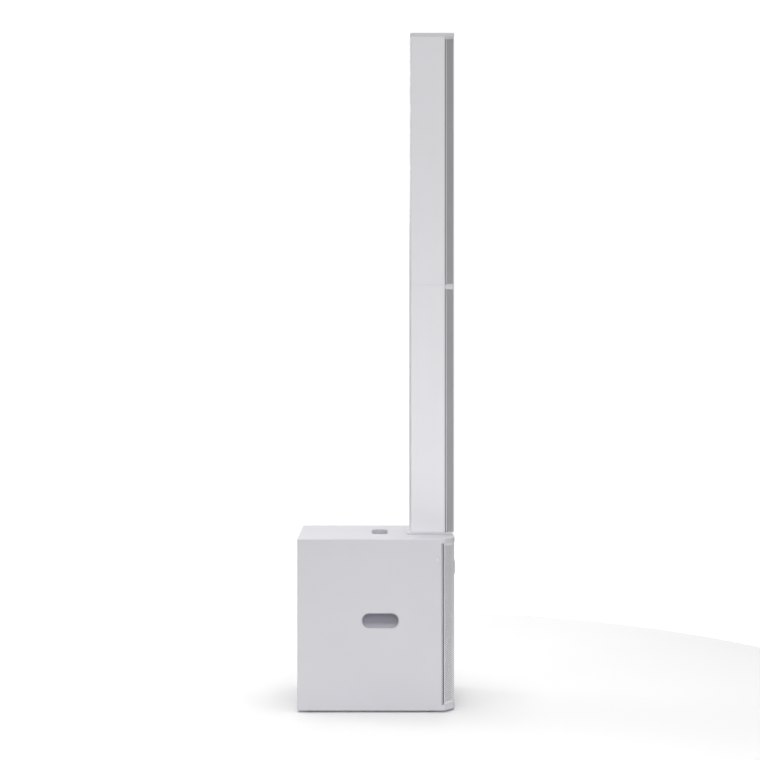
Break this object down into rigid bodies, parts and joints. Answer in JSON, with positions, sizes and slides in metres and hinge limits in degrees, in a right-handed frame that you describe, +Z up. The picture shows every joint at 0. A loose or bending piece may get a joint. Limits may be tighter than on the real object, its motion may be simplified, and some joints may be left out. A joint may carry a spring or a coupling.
{
  "type": "column pa system",
  "caption": "Slim column loudspeaker in stacked elements on a powered subwoofer cabinet, white, with perforated grilles, hand holds and a rear amplifier panel.",
  "frame": {"origin": "on the floor, under the middle of the whole object's box", "axes": "+Z up, -Y is the front with the grilles, +X is the object's right side seen from behind the front face looking along +Y"},
  "size_m": [0.3708, 0.464, 2.01],
  "materials": {
    "cabinet_paint": "white structured paint on plywood, satin",
    "grille_paint": "white powder coat on perforated steel, satin",
    "column_paint": "white powder coat on extruded aluminium, satin",
    "moulded_white": "white moulded plastic, fine texture",
    "hold_grey": "light grey moulded plastic, matt",
    "board": "raw birch plywood, matt",
    "black_plastic": "black moulded plastic, satin",
    "panel_paint": "black powder coat on steel sheet, matt",
    "rubber": "black rubber, matt",
    "cone_paper": "black pressed paper, matt",
    "basket_metal": "black painted steel, satin",
    "magnet_metal": "zinc plated steel, satin",
    "heat_sink_metal": "black anodised aluminium, satin",
    "circuit_board": "green solder mask, satin",
    "copper": "enamelled copper winding, satin",
    "light_lens": "clear green lens, gloss"
  },
  "bodies": {
    "subwoofer": {"amp_board": "circuit_board", "amp_panel": "panel_paint", "amp_transformer": "copper", "cabinet": "cabinet_paint", "cabinet_brace": "board", "dock_plate": "moulded_white", "dock_socket": "black_plastic", "foot_front_left": "rubber", "foot_front_right": "rubber", "foot_rear_left": "rubber", "foot_rear_right": "rubber", "front_baffle": "board", "grille_badge": "moulded_white", "heat_sink": "heat_sink_metal", "input_socket_1": "black_plastic", "input_socket_2": "black_plastic", "line_out_socket": "black_plastic", "mains_inlet": "black_plastic", "port_tube_left": "black_plastic", "port_tube_right": "black_plastic", "rocker_frame": "black_plastic", "side_hold_cup_left": "hold_grey", "side_hold_cup_right": "hold_grey", "side_plug_left": "moulded_white", "side_plug_right": "moulded_white", "status_light": "light_lens", "sub_grille": "grille_paint", "top_hold_cup": "hold_grey", "woofer_basket": "basket_metal", "woofer_magnet": "magnet_metal", "woofer_surround": "rubber"},
    "lower_column": {"lower_baffle": "board", "lower_driver_1": "cone_paper", "lower_driver_2": "cone_paper", "lower_driver_3": "cone_paper", "lower_driver_4": "cone_paper", "lower_foot_cap": "black_plastic", "lower_grille": "grille_paint", "lower_head_cap": "moulded_white", "lower_housing": "column_paint", "lower_plug": "black_plastic", "lower_socket": "black_plastic"},
    "upper_column": {"upper_baffle": "board", "upper_driver_1": "cone_paper", "upper_driver_2": "cone_paper", "upper_driver_3": "cone_paper", "upper_foot_cap": "black_plastic", "upper_grille": "grille_paint", "upper_housing": "column_paint", "upper_plug": "black_plastic", "upper_top_cap": "moulded_white", "waveguide": "black_plastic"},
    "woofer_moving": {"woofer_cone": "cone_paper", "woofer_dust_cap": "cone_paper"},
    "rocker": {"power_rocker": "black_plastic"},
    "button": {"mode_button": "black_plastic"},
    "knob_1": {"level_knob_1": "black_plastic"},
    "knob_2": {"level_knob_2": "black_plastic"},
    "knob_3": {"level_knob_3": "black_plastic"},
    "knob_4": {"level_knob_4": "black_plastic"}
  },
  "joints": [
    {"name": "lower_column_lift", "type": "slide", "parent": "subwoofer", "child": "lower_column", "axis": [0, 0, 1], "range_m": [0, 0.12]},
    {"name": "upper_column_lift", "type": "slide", "parent": "lower_column", "child": "upper_column", "axis": [0, 0, 1], "range_m": [0, 0.12]},
    {"name": "woofer_travel", "type": "slide", "parent": "subwoofer", "child": "woofer_moving", "axis": [0, -1, 0], "range_m": [-0.006, 0.006], "stiffness_N_per_m": 2500},
    {"name": "power_switch", "type": "hinge", "parent": "subwoofer", "child": "rocker", "pos_m": [0.03, 0.2157, 0.112], "axis": [1, 0, 0], "range_deg": [0, 20]},
    {"name": "mode_press", "type": "slide", "parent": "subwoofer", "child": "button", "axis": [0, -1, 0], "range_m": [0, 0.0025], "stiffness_N_per_m": 300},
    {"name": "level_turn_1", "type": "hinge", "parent": "subwoofer", "child": "knob_1", "pos_m": [-0.078, 0.2167, 0.404], "axis": [0, 1, 0], "range_deg": [-150, 150]},
    {"name": "level_turn_2", "type": "hinge", "parent": "subwoofer", "child": "knob_2", "pos_m": [-0.026, 0.2167, 0.404], "axis": [0, 1, 0], "range_deg": [-150, 150]},
    {"name": "level_turn_3", "type": "hinge", "parent": "subwoofer", "child": "knob_3", "pos_m": [0.026, 0.2167, 0.404], "axis": [0, 1, 0], "range_deg": [-150, 150]},
    {"name": "level_turn_4", "type": "hinge", "parent": "subwoofer", "child": "knob_4", "pos_m": [0.078, 0.2167, 0.404], "axis": [0, 1, 0], "range_deg": [-150, 150]}
  ]
}
